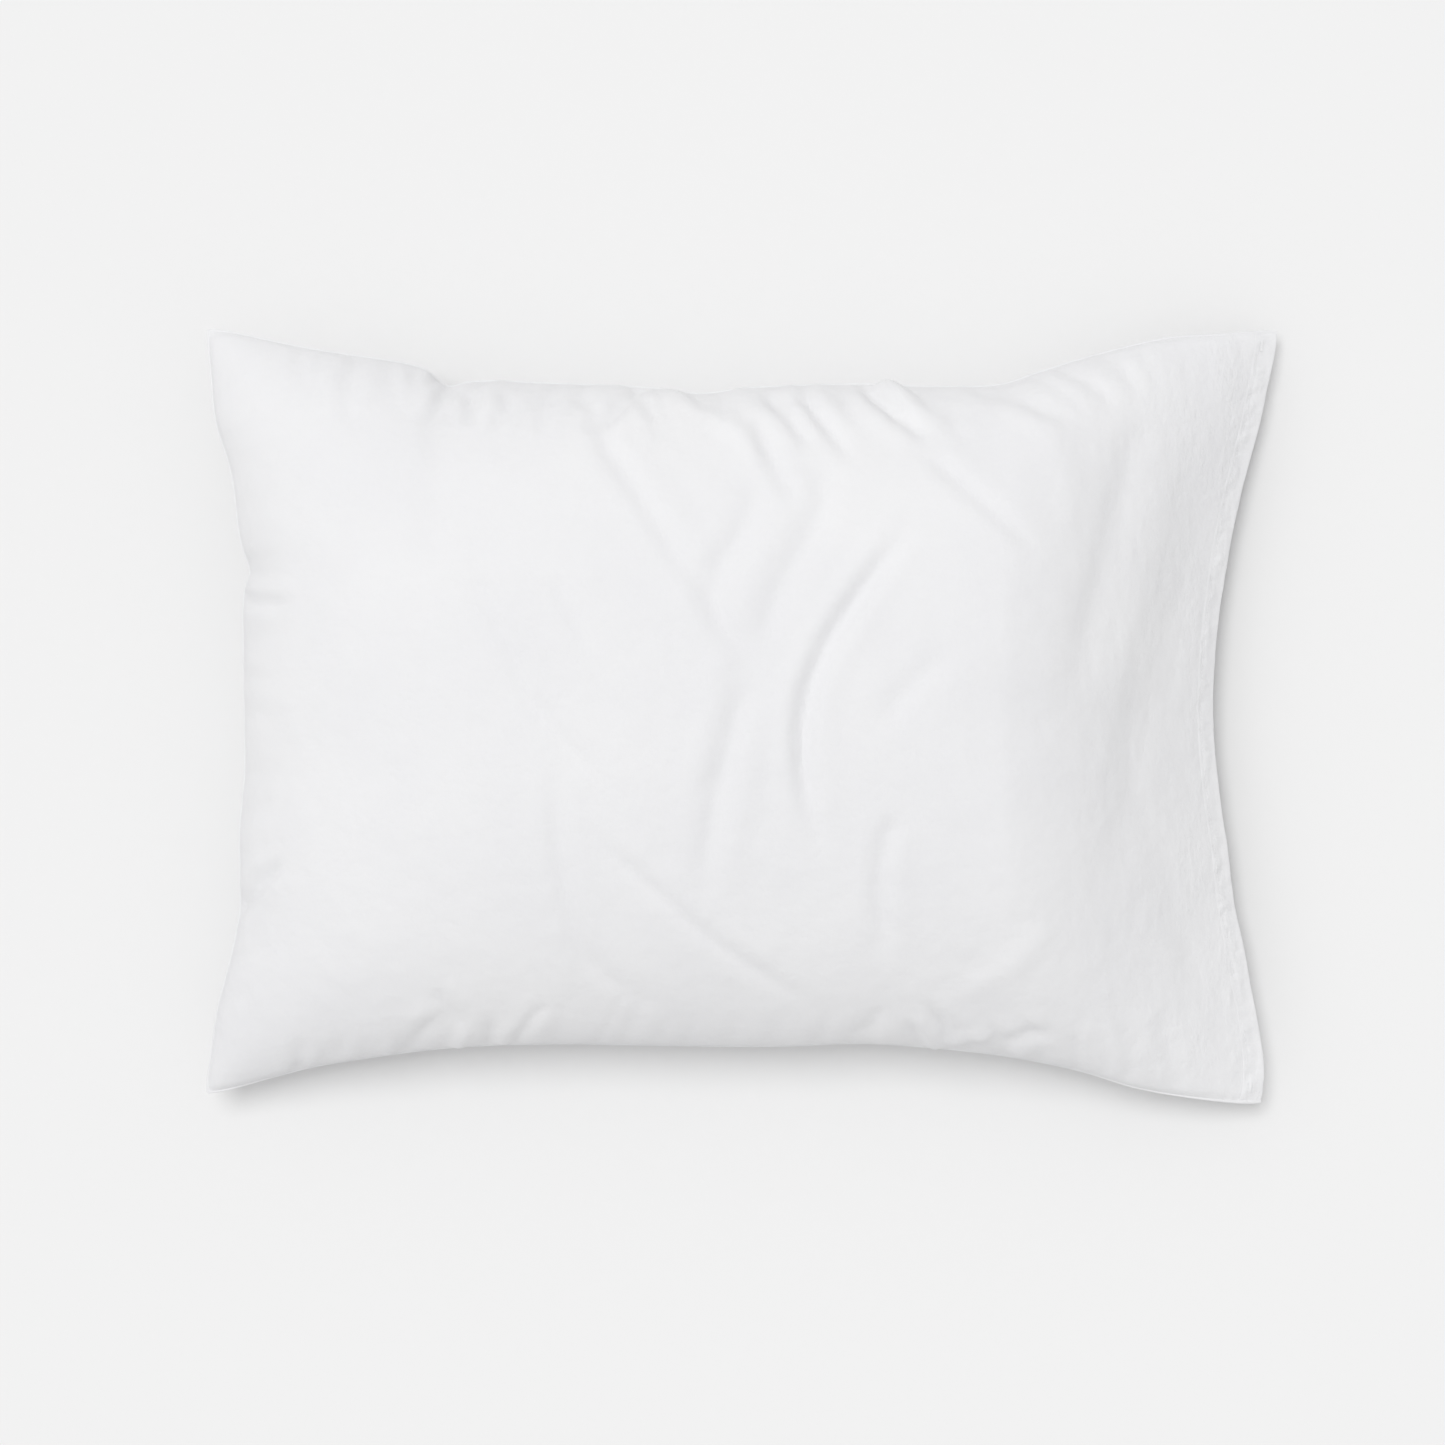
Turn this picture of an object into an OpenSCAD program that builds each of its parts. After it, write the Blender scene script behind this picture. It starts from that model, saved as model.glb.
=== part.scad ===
// Bed pillow: a fibre-filled pillow in a plain cotton case that is open at one end.
// Millimetres. +X points at the case's open mouth and +Z is up. The origin is on the
// resting surface, under the middle of the case.
//
// Every surface is a function of (u, v). u runs from -1 at the case's closed end to 1
// at its mouth, and v from -1 to 1 between its two long sides.

/* [Case] */
// Length of the filled case, corner to corner
case_len = 693; // [560:1:900]
// Width of the filled case, corner to corner
case_w = 500; // [400:1:700]
// Height of the crown above the resting surface
crown_h = 165; // [125:1:220]
// Height of the seam at the middle of a long side
seam_h = 58; // [46:1:76]
// Height of the two corners at the closed end
corner_h = 36; // [24:1:46]
// Height of the two corners at the mouth
mouth_corner_h = 27; // [20:1:46]
// Height of the middle of the mouth
mouth_h = 25; // [20:1:60]
// How far a long side pulls in between its corners
side_sag = 37; // [10:1:60]
// How far the closed end pulls in between its corners
end_sag = 27; // [10:1:60]
// How far the mouth pulls in between its corners
mouth_sag = 36; // [10:1:60]
// Length over which the top slopes down to the mouth
mouth_run = 180; // [120:1:220]
// How far the two layers gape at the middle of the mouth
mouth_gape = 16; // [8:1:24]
// Thickness of the cloth
cloth_t = 0.8; // [0.4:0.1:1.2]

/* [Case seams and hems] */
// Width of a closed seam, inside the case
seam_w = 7; // [4:0.5:12]
// Thickness of a closed seam between the two layers
seam_t = 1.6; // [0.8:0.1:3]
// Width of the turned hem at the mouth
hem_w = 15; // [8:0.5:40]
// How much the turned hem stands proud of the cloth
hem_step = 0.8; // [0.4:0.1:2]
// Distance of the stitch row from the hem's inner edge
stitch_inset = 2.5; // [1.5:0.5:5]
// Diameter of the sewing thread
thread_d = 0.6; // [0.4:0.1:1]
// Length of a bar tack at the end of a stitch row
tack_len = 10; // [6:1:20]
// Width of a bar tack
tack_w = 2.4; // [1.5:0.1:4]
// Thickness of a bar tack
tack_t = 0.8; // [0.4:0.1:1.5]

/* [Pillow] */
// Gap between the pillow's piping and the case's closed seams
edge_ease = 2; // [1:0.5:20]
// Empty length of case between the pillow and the mouth's corners
mouth_space = 96; // [70:1:160]
// Gap between the case's cloth and the ticking
face_ease = 3; // [2:0.5:8]
// Thickness of the ticking
ticking_t = 0.8; // [0.4:0.1:1.2]
// Diameter of the piping round the pillow's edge
piping_d = 4; // [3:0.5:8]
// Gap between the ticking and the fill
fill_ease = 1; // [0.5:0.1:3]
// Length of the stitching that closes the filling slot
closing_len = 160; // [60:1:240]

/* [Care label] */
// Length of the label outside the pillow's edge
label_len = 42; // [20:1:50]
// Width of the label
label_w = 30; // [15:1:50]
// Thickness of the folded label
label_t = 0.8; // [0.4:0.1:1.5]
// Place of the label along the pillow's end, from its middle
label_y = -150; // [-160:1:160]

/* [Hidden] */

// Cells of each surface, along and across
case_cells = [22, 16];
pillow_cells = [20, 14];
hem_cells = 3;
thread_sides = 8;
// Hairline that keeps loose pieces off each other
hairline = 0.1;
// Gap between the label's root and the piping that it is sewn in behind
sewn_gap = 0.6;
// Least half thickness of the fill, in the pillow's corners
fill_edge = 0.3;

cotton_white = "#f4f4f5";
ticking_white = "#efece6";
thread_white = "#fbfbfb";
fibre_white = "#fafafa";

half_len = case_len / 2;
half_w = case_w / 2;

// ---- The filled case -----------------------------------------------------------------

// 0 at a side's corners and 1 at its middle
function pulled(t) = pow(max(0, 1 - pow(t, 4)), 1.5);
// Half the case's length through v, and half its width through u
function reach_x(u, v) =
    half_len - (end_sag + (mouth_sag - end_sag) * (u + 1) / 2) * pulled(v);
function reach_y(u) = half_w - side_sag * pulled(u);
function place(u, v, z) = [u * reach_x(u, v), v * reach_y(u), z];

// Height of the plane in which the two layers are sewn together
function seam_z(u, v) =
    seam_h - (seam_h - (u < 0 ? corner_h : mouth_corner_h)) * pow(abs(u * v), 3)
    - (seam_h - mouth_h) * pow(max(u, 0), 4) * (1 - pow(abs(v), 3));

// Share of the full loft, which is 0 at the edges and 1 at the crown
function closed_end_loft(u) = pow(max(0, 1 - pow(max(-u, 0), 4)), 0.6);
function mouth_loft(u) =
    pow(1 - pow(min(1, max(0, 1 + half_len * (u - 1) / mouth_run)), 1.6), 1.4);
function side_loft(v) = pow(max(0, 1 - pow(abs(v), 2.6)), 0.6);
function loft(u, v) = closed_end_loft(u) * mouth_loft(u) * side_loft(v);
// How far a loft of f presses the underside down, where 1 is onto the resting surface
function settled(f) = 1 - pow(max(0, 1 - 1.15 * f), 1.5);

// Height of a layer's outer face over the seam's plane, before any loft
function edge_rise(u, v) =
    seam_t / 2 + cloth_t + mouth_gape / 2 * pow(max(u, 0), 6) * (1 - v * v);
crown_rise = crown_h - seam_h - edge_rise(0, 0);
function top_z(u, v) = seam_z(u, v) + edge_rise(u, v) + crown_rise * loft(u, v);
function bottom_z(u, v) = (seam_z(u, v) - edge_rise(u, v)) * (1 - settled(loft(u, v)));

top_face = function(u, v) place(u, v, top_z(u, v));
bottom_face = function(u, v) place(u, v, bottom_z(u, v));

// u at a distance in from the mouth's edge, through v
function mouth_u(inset, v) = 1 - inset / reach_x(1, v);

// ---- The pillow inside ---------------------------------------------------------------

// The pillow has its own p and q, which run from -1 to 1 as u and v do
side_inset = seam_w + edge_ease + piping_d;
pillow_ends = [-1 + side_inset / half_len, 1 - mouth_space / half_len];
pillow_mid = (pillow_ends[0] + pillow_ends[1]) / 2;
pillow_half = (pillow_ends[1] - pillow_ends[0]) / 2;
function pillow_u(p) = pillow_mid + p * pillow_half;
function pillow_v(p, q) = q * (1 - side_inset / reach_y(pillow_u(p)));

// Share of the room inside the case that the pillow takes up
function plump(p, q) =
    pow(max(0, 1 - pow(abs(p), 6)), 0.6) * pow(max(0, 1 - pow(abs(q), 6)), 0.6);
ticking_rise = hairline / 2 + ticking_t;
function ticking_top_z(u, v, share) = let (edge = seam_z(u, v) + ticking_rise)
    edge + share * (top_z(u, v) - cloth_t - face_ease - edge);
function ticking_bottom_z(u, v, share) = let (edge = seam_z(u, v) - ticking_rise)
    edge + share * (bottom_z(u, v) + cloth_t + face_ease - edge);

ticking_top_face = function(p, q) let (u = pillow_u(p), v = pillow_v(p, q))
    place(u, v, ticking_top_z(u, v, plump(p, q)));
ticking_bottom_face = function(p, q) let (u = pillow_u(p), v = pillow_v(p, q))
    place(u, v, ticking_bottom_z(u, v, plump(p, q)));
// A point of the pillow's edge, moved out from it by a distance in the seam's plane
function pillow_edge(p, q, out) =
    let (u = pillow_u(p) + p * out / (half_len - end_sag),
        v = q * (1 - (side_inset - out) / reach_y(u)))
    place(u, v, seam_z(u, v));

// ---- From surfaces to solids ---------------------------------------------------------

// n + 1 values from a to b, closer together towards both ends
function eased(a, b, n) = [for (i = [0:n]) a + (b - a) * (1 - cos(180 * i / n)) / 2];
// n + 1 evenly spaced values from a to b
function even(a, b, n) = [for (i = [0:n]) a + (b - a) * i / n];
function unit(w) = w / norm(w);

// Upward unit normal of a surface at (a, b)
function normal(face, a, b) =
    let (e = 0.002,
        along = face(min(1, a + e), b) - face(max(-1, a - e), b),
        across = face(a, min(1, b + e)) - face(a, max(-1, b - e)))
    unit(cross(along, across));

// A grid of (a, b) as points of a surface, each raised straight up
function raised(face, grid, rise) =
    [for (row = grid) [for (cell = row) face(cell[0], cell[1]) + [0, 0, rise]]];

// The same points moved along the normal. The border moves straight up instead, so
// that neighbours meet on an upright face.
function offset_face(face, grid, rise) = let (n = len(grid) - 1, m = len(grid[0]) - 1)
    [for (i = [0:n]) [for (j = [0:m])
        let (a = grid[i][j][0], b = grid[i][j][1],
            border = i == 0 || j == 0 || i == n || j == m)
        face(a, b) + rise * (border ? [0, 0, 1] : normal(face, a, b))]];

// A closed solid between an upper and a lower grid of points
module slab(upper, lower) {
    n = len(upper);
    m = len(upper[0]);
    count = n * m;
    function at(i, j) = i * m + j;
    top = [for (i = [0:n - 2], j = [0:m - 2]) each [
        [at(i, j), at(i, j + 1), at(i + 1, j + 1)],
        [at(i, j), at(i + 1, j + 1), at(i + 1, j)]]];
    bottom = [for (tri = top) [count + tri[2], count + tri[1], count + tri[0]]];
    border = concat(
        [for (i = [0:n - 2]) at(i, 0)], [for (j = [0:m - 2]) at(n - 1, j)],
        [for (i = [n - 1:-1:1]) at(i, m - 1)], [for (j = [m - 1:-1:1]) at(0, j)]);
    walls = [for (k = [0:len(border) - 1])
        let (a = border[k], b = border[(k + 1) % len(border)])
        each [[a, b, count + b], [a, count + b, count + a]]];
    polyhedron([for (row = concat(upper, lower)) each row], concat(top, bottom, walls));
}

// A round bead of diameter d along a path, which may close on itself
module bead(path, d, closed = false) {
    n = len(path);
    function step(k) = closed ? path[(k + 1) % n] - path[(k + n - 1) % n]
        : path[min(k + 1, n - 1)] - path[max(k - 1, 0)];
    function aside(k) = unit(cross(step(k), [0, 0, 1]));
    function above(k) = unit(cross(aside(k), step(k)));
    function at(k, s) = (k % n) * thread_sides + s % thread_sides;
    points = [for (k = [0:n - 1], s = [0:thread_sides - 1])
        let (turn = 360 * (s + 0.5) / thread_sides)
        path[k] + d / 2 * (cos(turn) * aside(k) + sin(turn) * above(k))];
    skin = [for (k = [0:(closed ? n : n - 1) - 1], s = [0:thread_sides - 1]) each [
        [at(k, s), at(k, s + 1), at(k + 1, s + 1)],
        [at(k, s), at(k + 1, s + 1), at(k + 1, s)]]];
    ends = closed ? [] : [[for (s = [thread_sides - 1:-1:0]) at(0, s)],
        [for (s = [0:thread_sides - 1]) at(n - 1, s)]];
    polyhedron(points, concat(skin, ends));
}

// ---- Case ----------------------------------------------------------------------------

// The panels run from the closed end to the hem, and the hem on to the mouth
case_vs = eased(-1, 1, case_cells[1]);
case_grid = [for (share = eased(0, 1, case_cells[0])) [for (v = case_vs)
    [-1 + share * (1 + mouth_u(hem_w, v)), v]]];
stitch_line = hem_w - stitch_inset;
hem_insets = concat([hem_w], even(stitch_line, 0, hem_cells - 1));
hem_grid = [for (inset = hem_insets) [for (v = case_vs) [mouth_u(inset, v), v]]];

module case_top_panel() {
    color(cotton_white)
        slab(raised(top_face, case_grid, 0), offset_face(top_face, case_grid, -cloth_t));
}

module case_bottom_panel() {
    color(cotton_white)
        slab(offset_face(bottom_face, case_grid, cloth_t), raised(bottom_face, case_grid, 0));
}

module case_top_hem() {
    color(cotton_white)
        slab(raised(top_face, hem_grid, hem_step), raised(top_face, hem_grid, -cloth_t));
}

module case_bottom_hem() {
    color(cotton_white)
        slab(raised(bottom_face, hem_grid, cloth_t), raised(bottom_face, hem_grid, -hem_step));
}

// A row of stitches on the hem's outer side, which is 1 above and -1 below. It stops
// short of the long sides.
function stitch_row(face, side) = [for (v = case_vs) if (abs(v) < 1)
    let (u = mouth_u(stitch_line, v))
    face(u, v) + side * ([0, 0, hem_step] + (thread_d / 2 + hairline) * normal(face, u, v))];

module case_top_hem_thread() {
    color(thread_white) bead(stitch_row(top_face, 1), thread_d);
}

module case_bottom_hem_thread() {
    color(thread_white) bead(stitch_row(bottom_face, -1), thread_d);
}

// A bar tack beside each end of the upper stitch row, on its mouth side
module case_bar_tacks() {
    foot = hem_step + 2 * hairline;
    near = seam_w / half_w;
    far = near + tack_len / half_w;
    inset = stitch_line - thread_d / 2 - hairline;
    color(thread_white) for (vs = [[near - 1, far - 1], [1 - far, 1 - near]]) {
        grid = [for (further = [0, tack_w]) [for (v = even(vs[0], vs[1], 2))
            [mouth_u(inset - further, v), v]]];
        slab(raised(top_face, grid, foot + tack_t), raised(top_face, grid, foot));
    }
}

// A seam runs from the case's own edge to one seam width further in
seam_us = concat([for (row = case_grid) row[0][0]],
    [for (k = [1:hem_cells]) hem_grid[k][0][0]]);
mitre_u = -1 + seam_w / half_len;
function seam_v(u) = 1 - seam_w / reach_y(u);
function side_cells(u, side) = let (w = mitre_u + (u + 1) / 2 * (1 - mitre_u),
        outer = [u, side], inner = [w, side * seam_v(w)])
    side < 0 ? [outer, inner] : [inner, outer];
end_grid = [[for (v = case_vs) [-1, v]], [for (v = case_vs) [mitre_u, v * seam_v(mitre_u)]]];
// The plane that the seams lie in
seam_face = function(u, v) place(u, v, seam_z(u, v));

module seam_slab(grid) {
    color(cotton_white)
        slab(raised(seam_face, grid, seam_t / 2), raised(seam_face, grid, -seam_t / 2));
}

module case_closed_end_seam() {
    seam_slab(end_grid);
}

module case_front_seam() {
    seam_slab([for (u = seam_us) side_cells(u, -1)]);
}

module case_rear_seam() {
    seam_slab([for (u = seam_us) side_cells(u, 1)]);
}

// ---- Pillow --------------------------------------------------------------------------

pillow_ps = eased(-1, 1, pillow_cells[0]);
pillow_qs = eased(-1, 1, pillow_cells[1]);
pillow_grid = [for (p = pillow_ps) [for (q = pillow_qs) [p, q]]];

module ticking_top_panel() {
    color(ticking_white)
        slab(raised(ticking_top_face, pillow_grid, 0),
            offset_face(ticking_top_face, pillow_grid, -ticking_t));
}

module ticking_bottom_panel() {
    color(ticking_white)
        slab(offset_face(ticking_bottom_face, pillow_grid, ticking_t),
            raised(ticking_bottom_face, pillow_grid, 0));
}

module ticking_piping() {
    ring = concat(
        [for (p = pillow_ps) if (p < 1) [p, -1]], [for (q = pillow_qs) if (q < 1) [1, q]],
        [for (p = pillow_ps) if (p < 1) [-p, 1]], [for (q = pillow_qs) if (q < 1) [-1, -q]]);
    color(ticking_white)
        bead([for (cell = ring) pillow_edge(cell[0], cell[1], piping_d / 2 + hairline)],
            piping_d, closed = true);
}

// The fill lies inside the ticking and stops one cell short of its edge
module fibre_fill() {
    fill_grid = [for (i = [1:pillow_cells[0] - 1]) [for (j = [1:pillow_cells[1] - 1])
        [pillow_ps[i], pillow_qs[j]]]];
    depth = ticking_t + fill_ease;
    function skin(face, side) = [for (row = fill_grid) [for (cell = row)
        let (point = face(cell[0], cell[1])
                - side * depth * normal(face, cell[0], cell[1]),
            middle = pillow_edge(cell[0], cell[1], 0)[2])
        [point[0], point[1], middle + side * max(fill_edge, side * (point[2] - middle))]]];
    color(fibre_white) slab(skin(ticking_top_face, 1), skin(ticking_bottom_face, -1));
}

// It closes the slot in the pillow's end that faces the mouth
module closing_thread() {
    p = pillow_ps[pillow_cells[0] - 1];
    half_q = closing_len / 2 / pillow_edge(1, 1, 0)[1];
    color(thread_white) bead([for (q = even(-half_q, half_q, 10))
        ticking_top_face(p, q)
            + (thread_d / 2 + hairline) * normal(ticking_top_face, p, q)], thread_d);
}

// It is sewn into the pillow's end and lies towards the mouth, level with the seam
module care_label() {
    end_u = pillow_ends[1];
    reach = reach_x(end_u, label_y / half_w);
    root_u = end_u + (piping_d + sewn_gap) / reach;
    grid = [for (u = even(root_u, root_u + label_len / reach, 3))
        [for (y = even(label_y - label_w / 2, label_y + label_w / 2, 2))
            [u, y / reach_y(u)]]];
    color(thread_white)
        slab(raised(seam_face, grid, label_t / 2), raised(seam_face, grid, -label_t / 2));
}

case_top_panel();
case_bottom_panel();
case_top_hem();
case_bottom_hem();
case_top_hem_thread();
case_bottom_hem_thread();
case_bar_tacks();
case_closed_end_seam();
case_front_seam();
case_rear_seam();
ticking_top_panel();
ticking_bottom_panel();
ticking_piping();
fibre_fill();
closing_thread();
care_label();
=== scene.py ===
import math
import random

import bpy
import numpy as np
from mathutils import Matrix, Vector, noise
from mathutils.bvhtree import BVHTree


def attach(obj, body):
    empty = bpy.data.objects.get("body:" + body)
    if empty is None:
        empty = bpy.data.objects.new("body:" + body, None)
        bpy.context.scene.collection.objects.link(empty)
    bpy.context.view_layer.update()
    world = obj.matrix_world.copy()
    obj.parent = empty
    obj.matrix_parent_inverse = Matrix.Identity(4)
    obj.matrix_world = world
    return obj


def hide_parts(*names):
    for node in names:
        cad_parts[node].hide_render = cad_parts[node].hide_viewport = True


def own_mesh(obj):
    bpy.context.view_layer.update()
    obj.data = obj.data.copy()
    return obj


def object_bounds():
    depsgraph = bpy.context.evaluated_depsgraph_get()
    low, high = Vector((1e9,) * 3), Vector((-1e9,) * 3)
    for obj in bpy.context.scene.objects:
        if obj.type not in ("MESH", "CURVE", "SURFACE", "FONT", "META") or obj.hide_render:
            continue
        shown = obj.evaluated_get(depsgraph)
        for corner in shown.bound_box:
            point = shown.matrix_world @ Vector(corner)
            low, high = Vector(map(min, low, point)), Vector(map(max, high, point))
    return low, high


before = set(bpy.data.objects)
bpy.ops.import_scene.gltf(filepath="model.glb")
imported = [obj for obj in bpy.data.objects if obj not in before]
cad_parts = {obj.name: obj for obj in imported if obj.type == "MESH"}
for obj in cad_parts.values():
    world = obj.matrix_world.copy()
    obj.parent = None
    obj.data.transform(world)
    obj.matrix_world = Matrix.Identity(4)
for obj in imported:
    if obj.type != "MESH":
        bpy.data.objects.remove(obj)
scene = bpy.context.scene
cadLow, cadHigh = [list(corner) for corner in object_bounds()]
bpy.ops.object.select_all(action="DESELECT")
print("frame loaded", [round(high - low, 3) for low, high in zip(cadLow, cadHigh)])

# Cloth is handled as grids of points. Rows run from the closed end to the mouth, and
# columns from the front long side to the rear one.

caseCut = {
    "length": 0.70,          # the case before it is filled
    "width": 0.50,
    "cellsAlong": 130,       # cells of the simulated cloth
    "cellsAcross": 92,
    "hemCells": 3,           # of those along, turned back as the hem
    "cloth": 0.0005,         # thickness
    "hemCloth": 0.0013,
    "fullTo": 0.16,          # along the cut: the filling presses fully up to here
    "emptyFrom": 0.25,
}

hemWidth = caseCut["hemCells"] * caseCut["length"] / caseCut["cellsAlong"]

caseShape = {
    "halfLength": (cadHigh[0] - cadLow[0]) / 2,
    "halfWidth": (cadHigh[1] - cadLow[1]) / 2,
    "crown": cadHigh[2],
    "seamHeight": 0.058,
    "cornerHeight": 0.036,
    "mouthCornerHeight": 0.025,
    "mouthRearHeight": 0.017,
    "mouthHeight": 0.019,
    "sideSag": 0.037,        # how far the middle of each side is drawn in
    "endSag": 0.027,
    "mouthSag": 0.036,
    "mouthRun": 0.168,       # the top slopes down to the mouth over this length
    "gape": 0.014,           # opening of the mouth at its middle
    "edgeRise": 0.0012,      # half the thickness where the two layers meet
    "ripple": 0.0008,        # unevenness of the seams' height
    "endRound": 0.6,         # lower is squarer
    "sideRound": 0.6,
    "sideFlat": 2.6,         # higher keeps the crown flat further towards the sides
    "slopeTop": 1.6,         # how softly the slope to the mouth begins and ends
    "slopeFoot": 1.4,
    "pressed": 1.15,         # higher lets more of the underside lie flat
}

# How far each side stands out (+) or in (-) from its even curve: (place, distance)
edgeQuirks = {
    "rear": [(-0.35, 0), (-0.285, 0.003), (-0.235, 0.006), (-0.206, 0.004), (-0.19, -0.006),
             (-0.175, -0.002), (-0.145, 0), (-0.065, -0.002), (-0.027, -0.006), (0.012, -0.002),
             (0.075, 0), (0.115, -0.002), (0.165, -0.003), (0.192, 0.003), (0.23, 0.01),
             (0.276, 0.012), (0.32, 0.0045), (0.35, 0.001)],
    "front": [(-0.35, -0.005), (-0.285, -0.006), (-0.233, -0.004), (-0.15, -0.003), (0, 0),
              (0.075, -0.002), (0.12, 0), (0.166, 0.003), (0.218, 0.008), (0.257, 0.013),
              (0.296, 0.01), (0.35, 0)],
    "closed": [(-0.25, 0), (-0.197, 0.006), (-0.17, 0.005), (-0.125, 0.001), (-0.075, 0.003),
               (-0.03, 0), (0.070, 0.001), (0.091, -0.004), (0.116, 0.002), (0.158, 0.004),
               (0.19, 0.008), (0.226, 0.003), (0.25, 0)],
    "mouth": [(-0.25, -0.008), (-0.222, 0.002), (-0.19, 0.008), (-0.155, 0.01), (-0.12, 0.0075),
              (-0.09, 0.006), (-0.055, 0.0015), (-0.02, -0.002), (0.01, -0.003), (0.05, -0.001),
              (0.09, 0.004), (0.13, 0.0085), (0.165, 0.0115), (0.19, 0.012), (0.216, 0.0085),
              (0.25, 0.004)],
}

# Folds on the top: points along the fold, half width, depth (a ridge is negative), and
# how far the cloth swells beside it, on its left and on its right
topFolds = [
    # the long dark valley right of the middle
    ([(0.112, 0.125), (0.078, 0.082), (0.050, 0.038), (0.038, -0.004), (0.040, -0.048),
      (0.054, -0.098)], 0.0058, 0.0044, 0.2, 0.5),
    # two arms that run into the middle valley
    ([(0.014, 0.165), (0.004, 0.122), (-0.015, 0.088), (-0.015, 0.062), (0.002, 0.040),
      (0.018, 0.020)], 0.008, 0.0026, 0.3, 0.5),
    ([(0.054, 0.165), (0.049, 0.125), (0.031, 0.092), (0.017, 0.060), (0.010, 0.025)],
     0.008, 0.0026, 0.3, 0.5),
    ([(0.008, 0.196), (0.016, 0.168), (0.026, 0.146), (0.036, 0.126)], 0.005, 0.0020, 0.3, 0.5),
    # the middle valley and the ridge left of it
    ([(0.006, 0.030), (-0.008, -0.020), (-0.019, -0.068), (-0.023, -0.125)],
     0.007, 0.0025, 0.6, 0.3),
    ([(-0.012, 0.050), (-0.022, -0.003), (-0.036, -0.050)], 0.009, -0.0014, 0, 0),
    # the long fold that curls in from the rear side
    ([(-0.050, 0.212), (-0.082, 0.192), (-0.086, 0.172), (-0.070, 0.148), (-0.047, 0.110),
      (-0.024, 0.076), (-0.003, 0.040)], 0.006, 0.0022, 0.4, 0.3),
    ([(-0.054, 0.217), (-0.068, 0.205), (-0.081, 0.191), (-0.088, 0.174)],
     0.0048, 0.0024, 0.4, 0.3),
    # faint diagonals towards the front
    ([(-0.104, -0.064), (-0.054, -0.110), (-0.004, -0.152), (0.060, -0.192)],
     0.005, 0.0016, 0.4, 0.2),
    ([(-0.116, -0.020), (-0.114, -0.070), (-0.108, -0.118), (-0.092, -0.158), (-0.052, -0.190)],
     0.006, 0.0017, 0.3, 0.3),
    ([(-0.176, 0.112), (-0.144, 0.044), (-0.122, -0.003), (-0.064, -0.062)],
     0.006, 0.0018, 0.3, 0.2),
    ([(-0.118, 0.090), (-0.104, 0.060), (-0.090, 0.034)], 0.006, 0.0012, 0.2, 0.3),
    # short ones right of the long valley
    ([(0.130, 0.041), (0.102, 0.016), (0.082, -0.012)], 0.007, 0.0014, 0.3, 0.3),
    ([(0.094, -0.058), (0.086, -0.100), (0.090, -0.162)], 0.006, 0.0022, 0.4, 0.2),
    ([(0.112, 0.168), (0.147, 0.136), (0.188, 0.098)], 0.0055, 0.0022, 0.3, 0.3),
    ([(0.138, 0.212), (0.173, 0.199), (0.208, 0.182)], 0.005, 0.0018, 0.3, 0.3),
    ([(0.196, -0.128), (0.168, -0.158), (0.122, -0.186)], 0.008, -0.0011, 0.2, 0.6),
    # the soft shoulder and the broad hollows down the slope to the mouth
    ([(0.150, 0.205), (0.190, 0.180), (0.205, 0.140), (0.190, 0.095)], 0.012, -0.0016, 0, 0),
    ([(0.256, 0.200), (0.247, 0.162), (0.234, 0.115), (0.215, 0.044), (0.199, -0.020)],
     0.010, 0.0021, 0.1, 0.2),
    ([(0.276, 0.190), (0.258, 0.100), (0.236, 0.020), (0.220, -0.050)], 0.011, -0.0014, 0, 0),
    ([(0.303, 0.185), (0.287, 0.085), (0.262, 0.000), (0.244, -0.065), (0.226, -0.130)],
     0.014, 0.0019, 0.1, 0.2),
    ([(0.272, 0.040), (0.258, -0.050), (0.268, -0.115), (0.288, -0.175)], 0.012, -0.0012, 0, 0),
    ([(0.250, -0.030), (0.264, -0.090), (0.284, -0.145), (0.306, -0.195)], 0.012, 0.0015, 0.2, 0.2),
    # creases that run in from the rear seam
    ([(0.012, 0.208), (0.028, 0.190), (0.046, 0.164)], 0.0045, 0.0030, 0.5, 0.3),
    ([(0.036, 0.206), (0.052, 0.184), (0.072, 0.156)], 0.0045, 0.0028, 0.4, 0.3),
    ([(0.074, 0.213), (0.096, 0.194), (0.120, 0.170)], 0.005, 0.0044, 0.6, 0.4),
    ([(-0.052, 0.212), (-0.028, 0.191), (-0.002, 0.176), (0.013, 0.142)], 0.0065, -0.0026, 0, 0),
    ([(-0.178, 0.210), (-0.170, 0.195), (-0.174, 0.180)], 0.005, 0.0020, 0.4, 0.2),
    ([(-0.150, 0.208), (-0.150, 0.192), (-0.160, 0.180)], 0.005, 0.0016, 0.4, 0.2),
    ([(-0.108, 0.206), (-0.094, 0.192), (-0.098, 0.176)], 0.005, 0.0018, 0.4, 0.2),
    # creases at the closed end and the front seam
    ([(-0.326, 0.078), (-0.305, 0.071), (-0.280, 0.071)], 0.0042, 0.0021, 0.5, 0.3),
    ([(-0.334, -0.136), (-0.312, -0.113), (-0.288, -0.090)], 0.0046, 0.0034, 0.4, 0.4),
    ([(-0.196, -0.172), (-0.184, -0.188), (-0.168, -0.205)], 0.005, 0.0013, 0.4, 0.3),
    ([(0.074, -0.206), (0.082, -0.196), (0.092, -0.182)], 0.005, 0.0016, 0.3, 0.3),
    ([(0.126, -0.214), (0.145, -0.205), (0.166, -0.203)], 0.0045, -0.0020, 0, 0.6),
    ([(0.164, -0.210), (0.180, -0.204), (0.200, -0.202)], 0.0045, 0.0018, 0.3, 0.4),
]

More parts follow.
